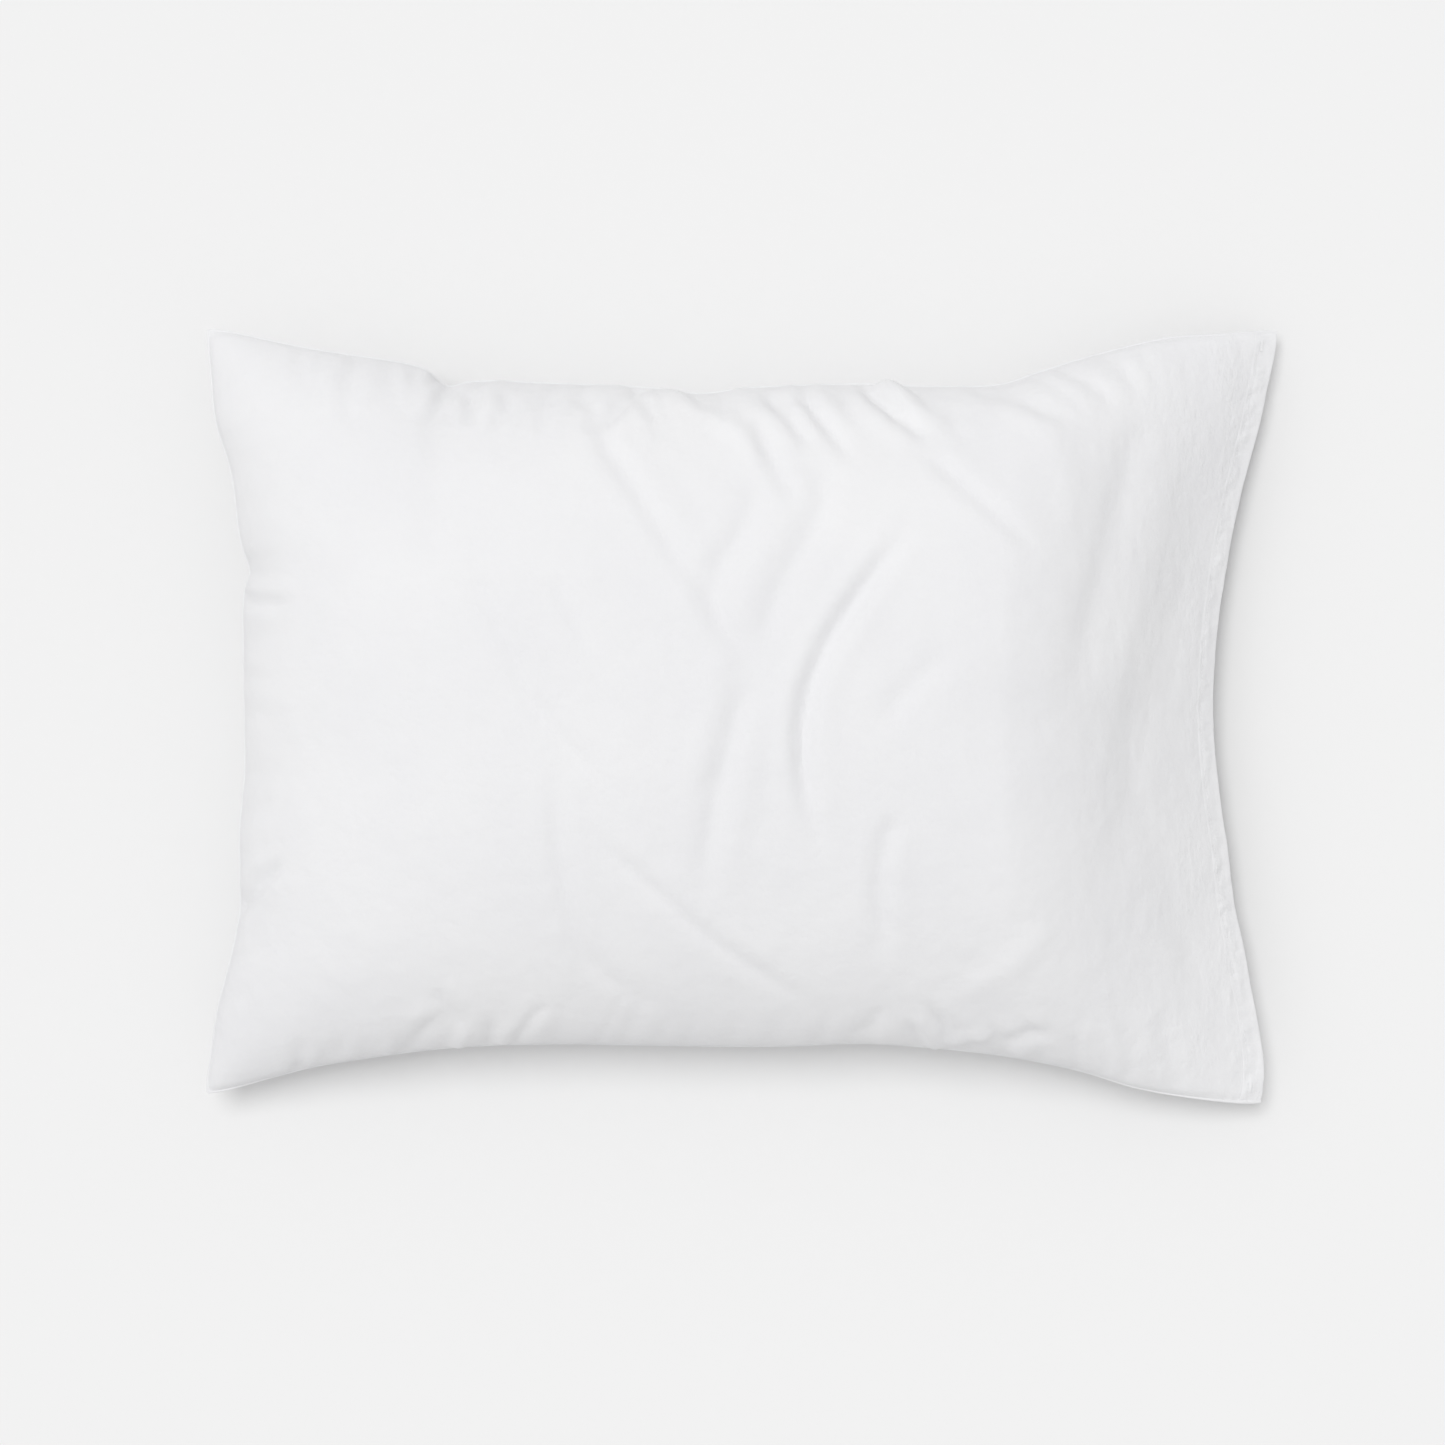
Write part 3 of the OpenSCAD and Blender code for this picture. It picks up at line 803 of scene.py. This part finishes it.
def pipingPuckers(points, p, q):      # gathers where the ticking meets the piping
    height = np.zeros(p.shape)
    inwardP = (1 - np.abs(p)) * pillow["halfLength"]
    inwardQ = (1 - np.abs(q)) * pillow["halfWidth"]
    inward = np.minimum(inwardP, inwardQ)
    along = np.where(inwardP < inwardQ, points[..., 1], points[..., 0])
    for index in np.argwhere(inward < 4 * pillow["puckerReach"]):
        k = tuple(index)
        at = Vector((along[k] / pillow["puckerPitch"], inward[k] / 0.05, 2.0 * (q[k] > 0)))
        slow = Vector((points[k][0] * 14, points[k][1] * 14, 9.1))
        height[k] = noise.noise(at) + 0.5 * noise.noise(slow)
    fade = easeUp(0, 0.012, inward) * np.exp(-inward / pillow["puckerReach"])
    return height * fade * pillow["pucker"]


def makePillow():
    cells = pillow["cellsAlong"] + 1, pillow["cellsAcross"] + 1
    outer = skinTree(top[::2, ::2], bottom[::2, ::2])
    skins = []
    for side in (1, -1):
        gap = pillow["clearance"] + caseCut["cloth"]
        pointsAt = lambda a, b: pillowPoints(a, b, side, gap)
        p, q = spreadEvenly(pointsAt, *cells)
        points = pointsAt(p, q)
        puckers = pipingPuckers(points, p, q)[..., None]
        points = points + side * gridNormals(points) * puckers
        inner = points[2:-2, 2:-2]
        points[2:-2, 2:-2] = keepInside(inner, outer, gap)
        skins.append(points)
    return skins


def edgeRing(out):      # the pillow's edge as a closed path, moved outward
    steps = np.linspace(-1, 1, 120, endpoint=False)
    one = np.ones_like(steps)
    p = np.concatenate([steps, one, -steps, -one])
    q = np.concatenate([-one, steps, one, -steps])
    u, v = pillowEdge(p, q, out)
    path = casePoints(u, v, 1)
    path[:, 2] = seamPlane(u, v)
    return path


def makePiping():
    radius = pillow["piping"] / 2
    path = edgeRing(radius + 0.0002)
    for turn in range(6):      # rounds the four corners
        path = path * 0.5 + (np.roll(path, 1, axis=0) + np.roll(path, -1, axis=0)) * 0.25
    run = np.roll(path, -1, axis=0) - np.roll(path, 1, axis=0)
    run = run / np.linalg.norm(run, axis=1, keepdims=True)
    outward = np.cross(run, [0, 0, 1.0])
    outward = outward / np.linalg.norm(outward, axis=1, keepdims=True)
    turn = np.arange(10) / 10 * 2 * math.pi
    section = np.stack([np.cos(turn), np.sin(turn)], axis=1) * radius
    return sweep("tickingPiping", path, outward, np.cross(outward, run), section, closed=True)


fill = {
    "gap": 0.0022,           # under the ticking, at least
    "lump": 0.0022,
    "lumpScales": (38, 90),
    "cellsAlong": 84,
    "cellsAcross": 62,
}


def makeFill(skins):      # wadding that follows the ticking, softly lumpy
    points = []
    for skin, side in zip(skins, (1, -1)):
        rows = np.linspace(3, skin.shape[0] - 4, fill["cellsAlong"] + 1)
        columns = np.linspace(3, skin.shape[1] - 4, fill["cellsAcross"] + 1)
        r, c = rows.astype(int), columns.astype(int)
        a, b = (rows - r)[:, None, None], (columns - c)[None, :, None]
        r, c = np.minimum(r, skin.shape[0] - 2), np.minimum(c, skin.shape[1] - 2)
        near = skin[r][:, c] * (1 - b) + skin[r][:, c + 1] * b
        far = skin[r + 1][:, c] * (1 - b) + skin[r + 1][:, c + 1] * b
        layer = near * (1 - a) + far * a
        broad, fine = fill["lumpScales"]
        lump = [[noise.noise(Vector(p) * broad) + 0.5 * noise.noise(Vector(p) * fine) for p in row]
                for row in layer]
        depth = fill["gap"] + fill["lump"] * (1 + np.clip(np.array(lump), -1, 1))
        points.append(layer - side * gridNormals(layer) * depth[..., None])
    upper, lower = points
    middle = (upper[..., 2] + lower[..., 2]) / 2
    half = np.maximum((upper[..., 2] - lower[..., 2]) / 2, 0.0004)
    upper[..., 2], lower[..., 2] = middle + half, middle - half
    skin, faces, _, _ = joinedGrids(upper, lower, False)
    wad = addMesh("fibreFill", skin, faces)
    rounded = wad.modifiers.new("rounded", "SUBSURF")
    rounded.levels = rounded.render_levels = 1
    applyAll(wad)
    pick(wad)
    bpy.ops.object.shade_smooth()
    return wad


def makeClosing(skin):      # slanted hand stitches over the slot in the pillow's end
    row = skin.shape[0] - 3
    normals = gridNormals(skin)
    edge = skin[row]
    inside = np.abs(edge[:, 1]) < pillow["closing"] / 2
    first, last = np.flatnonzero(inside)[[0, -1]]
    count = int(pillow["closing"] / pillow["closingPitch"])
    places, directions, facing = [], [], []
    for column in np.linspace(first, last, count):
        normal = onGrid(normals, row, column)
        run = onGrid(skin, row, column + 0.5) - onGrid(skin, row, column - 0.5)
        down = onGrid(skin, row + 1, column) - onGrid(skin, row - 1, column)
        places.append(onGrid(skin, row, column) + normal * pillow["closingProud"])
        directions.append(run / np.linalg.norm(run) * 0.5 + down / np.linalg.norm(down))
        facing.append(normal)
    return addStitches("closingStitches", places, directions, facing, pillow["closingStitch"])


label = {
    "length": 0.042,
    "width": 0.030,
    "thickness": 0.0007,
    "middle": -0.15,         # its place along the pillow's end
    "fromPiping": 0.0008,
    "cells": (29, 21),
    "curl": 0.0022,
    "wave": 0.001,
    "rim": 0.00025,
}


def makeLabel():      # a blank tape, sewn into the pillow's end
    half = caseShape["halfLength"]
    endU = 1 - pillow["mouthSpace"] / half
    reach = half - caseShape["mouthSag"]
    rows, columns = label["cells"]
    start = endU + (pillow["piping"] + label["fromPiping"]) / reach
    u, y = np.meshgrid(start + np.linspace(0, label["length"] / reach, rows),
                       label["middle"] + np.linspace(-0.5, 0.5, columns) * label["width"],
                       indexing="ij")
    v = y / (caseShape["halfWidth"] - caseShape["sideSag"] * pulled(u))
    points = casePoints(u, v, 1)
    share = np.linspace(0, 1, rows)[:, None]
    across = np.linspace(-1, 1, columns)[None, :]
    curl = label["curl"] * share ** 2 * across ** 2 + label["wave"] * np.sin(share * 5) * share
    points[..., 2] = seamPlane(u, v) + curl
    tape = addMesh("careLabel", points, gridFaces(np.arange(rows * columns).reshape(rows, columns)))
    wall = tape.modifiers.new("wall", "SOLIDIFY")
    wall.thickness = label["thickness"]
    wall.offset = 0
    rim = tape.modifiers.new("rim", "BEVEL")
    rim.width = label["rim"]
    rim.segments = 2
    rim.limit_method = "ANGLE"
    applyAll(tape)
    smooth(tape)
    return tape


skins = makePillow()
alongTicking = np.linspace(-0.5, 0.5, pillow["cellsAlong"] + 1) * pillow["cutLength"]
acrossTicking = np.linspace(-0.5, 0.5, pillow["cellsAcross"] + 1) * pillow["cutWidth"]
pillowCut = np.stack(np.meshgrid(alongTicking, acrossTicking, indexing="ij"), axis=2)
tickingTop = addCloth("tickingTopPanel", skins[0], pillowCut, pillow["ticking"])
tickingBottom = addCloth("tickingBottomPanel", skins[1], pillowCut, pillow["ticking"], False)
piping = makePiping()
wadding = makeFill(skins)
closing = makeClosing(skins[0])
careLabel = makeLabel()
print("pillow made")


# Materials

def newGroup(name, inputs, outputs):
    group = bpy.data.node_groups.new(name, "ShaderNodeTree")
    for side, sockets in (("INPUT", inputs), ("OUTPUT", outputs)):
        for title, kind, value in sockets:
            socket = group.interface.new_socket(name=title, in_out=side,
                                                socket_type="NodeSocket" + kind)
            if value is not None and side == "INPUT":
                socket.default_value = value
    return group, group.nodes.new("NodeGroupInput"), group.nodes.new("NodeGroupOutput")


def mathNode(tree, operation, a, b=None):
    node = tree.nodes.new("ShaderNodeMath")
    node.operation = operation
    for socket, value in zip(node.inputs, (a, b)):
        if isinstance(value, (int, float)):
            socket.default_value = value
        elif value is not None:
            tree.links.new(value, socket)
    return node.outputs[0]


def weaveGroup():      # plain weave: threads over and under one another
    tree, given, out = newGroup("plainWeave", [("Vector", "Vector", None), ("Pitch", "Float", 0.0006)],
                                [("Height", "Float", None)])
    parts = tree.nodes.new("ShaderNodeSeparateXYZ")
    tree.links.new(given.outputs["Vector"], parts.inputs[0])
    along = mathNode(tree, "DIVIDE", parts.outputs[0], given.outputs["Pitch"])
    across = mathNode(tree, "DIVIDE", parts.outputs[1], given.outputs["Pitch"])
    a = mathNode(tree, "SINE", mathNode(tree, "MULTIPLY", along, math.pi))
    b = mathNode(tree, "SINE", mathNode(tree, "MULTIPLY", across, math.pi))
    ridges = mathNode(tree, "ADD", mathNode(tree, "ABSOLUTE", a), mathNode(tree, "ABSOLUTE", b))
    crossing = mathNode(tree, "MULTIPLY", mathNode(tree, "MULTIPLY", a, b), 0.6)
    tree.links.new(mathNode(tree, "ADD", ridges, crossing), out.inputs["Height"])
    return tree


crumpleNoise = {      # scale, detail and distortion of each layer
    "ridges": (22, 4, 0.6),
    "soft": (60, 3, 0),
    "slow": (9, 2, 0),
}


def crumpleGroup():      # fine pressed-in creases and slow unevenness of washed cotton
    tree, given, out = newGroup("crumple", [("Vector", "Vector", None), ("Scale", "Float", 1.0)],
                                [("Height", "Float", None), ("Mottle", "Float", None)])
    scaled = tree.nodes.new("ShaderNodeVectorMath")
    scaled.operation = "SCALE"
    tree.links.new(given.outputs["Vector"], scaled.inputs[0])
    tree.links.new(given.outputs["Scale"], scaled.inputs["Scale"])
    layers = {}
    for layer, (scale, detail, distortion) in crumpleNoise.items():
        node = tree.nodes.new("ShaderNodeTexNoise")
        node.noise_type = "RIDGED_MULTIFRACTAL" if layer == "ridges" else "FBM"
        node.inputs["Scale"].default_value = scale
        node.inputs["Detail"].default_value = detail
        node.inputs["Distortion"].default_value = distortion
        tree.links.new(scaled.outputs[0], node.inputs["Vector"])
        layers[layer] = node.outputs[0]
    height = mathNode(tree, "ADD", mathNode(tree, "MULTIPLY", layers["ridges"], 0.5), layers["soft"])
    tree.links.new(height, out.inputs["Height"])
    tree.links.new(layers["slow"], out.inputs["Mottle"])
    return tree


plainWeave = weaveGroup()
crumple = crumpleGroup()


def addGroup(tree, group, links=(), **values):
    node = tree.nodes.new("ShaderNodeGroup")
    node.node_tree = group
    for name, value in values.items():
        node.inputs[name].default_value = value
    for name, socket in links:
        tree.links.new(socket, node.inputs[name])
    return node


def addBump(tree, height, distance, before=None):      # before is the bump under this one
    bump = tree.nodes.new("ShaderNodeBump")
    bump.inputs["Distance"].default_value = distance
    bump.inputs["Strength"].default_value = 1
    tree.links.new(height, bump.inputs["Height"])
    if before is not None:
        tree.links.new(before, bump.inputs["Normal"])
    return bump.outputs[0]


def tinted(tree, mask, low, high, darker, lighter):
    ramp = tree.nodes.new("ShaderNodeValToRGB")
    ramp.color_ramp.elements[0].position = low
    ramp.color_ramp.elements[0].color = (*darker, 1)
    ramp.color_ramp.elements[1].position = high
    ramp.color_ramp.elements[1].color = (*lighter, 1)
    tree.links.new(mask, ramp.inputs[0])
    return ramp.outputs[0]


def washedBump(tree, where, before):      # fine upright creases where the cloth hangs free
    parts = tree.nodes.new("ShaderNodeSeparateXYZ")
    tree.links.new(where, parts.inputs[0])
    share = tree.nodes.new("ShaderNodeMapRange")
    share.interpolation_type = "SMOOTHSTEP"
    share.inputs["From Min"].default_value = washedCreases["fineFrom"]
    share.inputs["From Max"].default_value = washedCreases["fineFull"]
    tree.links.new(parts.outputs[0], share.inputs["Value"])
    stretch = tree.nodes.new("ShaderNodeMapping")
    stretch.inputs["Scale"].default_value = washedCreases["fineStretch"]
    tree.links.new(where, stretch.inputs["Vector"])
    fine = addGroup(tree, crumple, [("Vector", stretch.outputs[0])], Scale=washedCreases["fineScale"])
    patch = tree.nodes.new("ShaderNodeMapRange")
    patch.inputs["From Min"].default_value = washedCreases["patchLow"]
    patch.inputs["From Max"].default_value = washedCreases["patchHigh"]
    tree.links.new(fine.outputs["Mottle"], patch.inputs["Value"])
    amount = mathNode(tree, "MULTIPLY", share.outputs[0], patch.outputs[0])
    height = mathNode(tree, "MULTIPLY", fine.outputs["Height"], amount)
    return addBump(tree, height, washedCreases["fineDepth"], before)


finishes = {      # colours, then the weave's pitch and depth and the creases' depth
    "whitePercale": {
        "dark": (0.85, 0.85, 0.865), "light": (0.88, 0.88, 0.89), "roughness": 0.85,
        "pitch": 0.0004, "weave": 0.00006, "creases": 0.0012, "sheen": 0.15, "washes": True},
    "naturalTicking": {
        "dark": (0.80, 0.785, 0.745), "light": (0.85, 0.84, 0.80), "roughness": 0.88,
        "pitch": 0.0005, "weave": 0.0001, "creases": 0.0010, "sheen": 0.1},
    "pipingCloth": {
        "dark": (0.80, 0.785, 0.745), "light": (0.85, 0.84, 0.80), "roughness": 0.88,
        "pitch": 0.0005, "weave": 0.0001, "creases": 0.0004, "sheen": 0.1},
    "seamPercale": {
        "dark": (0.85, 0.85, 0.865), "light": (0.88, 0.88, 0.89), "roughness": 0.85,
        "pitch": 0.0004, "weave": 0.00006, "creases": 0.0006, "sheen": 0.15},
    "sewingThread": {
        "dark": (0.84, 0.84, 0.85), "light": (0.89, 0.89, 0.90), "roughness": 0.6,
        "pitch": 0.0003, "weave": 0.00004, "creases": 0.0001, "sheen": 0.2},
    "fibreWadding": {
        "dark": (0.84, 0.84, 0.84), "light": (0.90, 0.90, 0.90), "roughness": 0.95,
        "pitch": 0.0009, "weave": 0.0003, "creases": 0.004, "sheen": 0.4},
    "labelTape": {
        "dark": (0.83, 0.83, 0.83), "light": (0.88, 0.88, 0.88), "roughness": 0.5,
        "pitch": 0.0004, "weave": 0.00005, "creases": 0.0003, "sheen": 0.2},
}


evenFinish = {"specular": 0.25, "sheenRoughness": 0.5, "mottleLow": 0.3, "mottleHigh": 0.7}


def clothMaterial(name, usesCut=False):      # usesCut lays the weave along the panel's own cut
    finish = finishes[name]
    material = bpy.data.materials.new(name)
    material.use_nodes = True
    tree = material.node_tree
    shader = tree.nodes["Principled BSDF"]
    where = tree.nodes.new("ShaderNodeTexCoord").outputs["Object"]
    surface = where
    if usesCut:
        cutMap = tree.nodes.new("ShaderNodeUVMap")
        cutMap.uv_map = "cut"
        surface = cutMap.outputs[0]
    weave = addGroup(tree, plainWeave, [("Vector", surface)], Pitch=finish["pitch"])
    creases = addGroup(tree, crumple, [("Vector", where)], Scale=1.0)
    colour = tinted(tree, creases.outputs["Mottle"], evenFinish["mottleLow"], evenFinish["mottleHigh"],
                    finish["dark"], finish["light"])
    tree.links.new(colour, shader.inputs["Base Color"])
    bumped = addBump(tree, creases.outputs["Height"], finish["creases"])
    if finish.get("washes"):
        bumped = washedBump(tree, where, bumped)
    bumped = addBump(tree, weave.outputs["Height"], finish["weave"], bumped)
    tree.links.new(bumped, shader.inputs["Normal"])
    shader.inputs["Roughness"].default_value = finish["roughness"]
    shader.inputs["Specular IOR Level"].default_value = evenFinish["specular"]
    shader.inputs["Sheen Weight"].default_value = finish["sheen"]
    shader.inputs["Sheen Roughness"].default_value = evenFinish["sheenRoughness"]
    return material


percale = clothMaterial("whitePercale", usesCut=True)
tickingCloth = clothMaterial("naturalTicking", usesCut=True)
pipingCloth = clothMaterial("pipingCloth")
seamCloth = clothMaterial("seamPercale")
thread = clothMaterial("sewingThread")
wool = clothMaterial("fibreWadding")
tapeCloth = clothMaterial("labelTape")

casePieces = [
    (caseTop, "case_top_panel", "case_cotton", percale),
    (caseBottom, "case_bottom_panel", "case_cotton", percale),
    (topHem, "case_top_hem", "case_cotton", percale),
    (bottomHem, "case_bottom_hem", "case_cotton", percale),
    (topStitches, "case_top_hem_thread", "sewing_thread", thread),
    (bottomStitches, "case_bottom_hem_thread", "sewing_thread", thread),
    (barTacks, "case_bar_tacks", "sewing_thread", thread),
    (closedSeam, "case_closed_end_seam", "case_cotton", seamCloth),
    (frontSeam, "case_front_seam", "case_cotton", seamCloth),
    (rearSeam, "case_rear_seam", "case_cotton", seamCloth),
]
pillowPieces = [
    (tickingTop, "ticking_top_panel", "ticking_cotton", tickingCloth),
    (tickingBottom, "ticking_bottom_panel", "ticking_cotton", tickingCloth),
    (piping, "ticking_piping", "ticking_cotton", pipingCloth),
    (wadding, "fibre_fill", "fibre_wadding", wool),
    (closing, "closing_thread", "sewing_thread", thread),
    (careLabel, "care_label", "label_tape", tapeCloth),
]
for body, pieces in (("case", casePieces), ("insert", pillowPieces)):
    for piece, node, slot, material in pieces:
        piece.data.materials.clear()
        piece.data.materials.append(material)
        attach(piece, body)
        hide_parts(node)
        if body == "case":
            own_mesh(piece)

print("materials and bodies set")


# Floor, light and camera

studio = {
    "floorSize": 60,
    "floorGrey": 0.82,
    "skyLight": 0.65,
    "sunEnergy": 1.43,
    "sunSpread": 30,         # degrees across
    "sunFrom": (-0.20, 0.235, 0.95),
    "lens": 100,             # mm, on a frame 36 mm wide
    "frameWidth": 36,
    "cameraAt": (-0.0123, -0.0048, 2.644),
}

bpy.ops.mesh.primitive_plane_add(size=studio["floorSize"])
floor = bpy.context.object
floor.name = "floor"
paper = bpy.data.materials.new("paleFloor")
paper.use_nodes = True
paperShader = paper.node_tree.nodes["Principled BSDF"]
paperShader.inputs["Base Color"].default_value = (*[studio["floorGrey"]] * 3, 1)
paperShader.inputs["Roughness"].default_value = 1
paperShader.inputs["Specular IOR Level"].default_value = 0
floor.data.materials.append(paper)

world = bpy.data.worlds.new("studio")
world.use_nodes = True
sky = world.node_tree.nodes["Background"]
sky.inputs["Color"].default_value = (1, 1, 1, 1)
sky.inputs["Strength"].default_value = studio["skyLight"]
scene.world = world

sun = bpy.data.lights.new("window", "SUN")
sun.energy = studio["sunEnergy"]
sun.angle = math.radians(studio["sunSpread"])
lamp = bpy.data.objects.new("window", sun)
lamp.rotation_euler = Vector(studio["sunFrom"]).to_track_quat("Z", "Y").to_euler()
scene.collection.objects.link(lamp)

camera = bpy.data.cameras.new("camera")
camera.lens = studio["lens"]
camera.sensor_width = studio["frameWidth"]
viewer = bpy.data.objects.new("camera", camera)
viewer.location = studio["cameraAt"]
scene.collection.objects.link(viewer)
scene.camera = viewer
scene.view_settings.view_transform = "Standard"
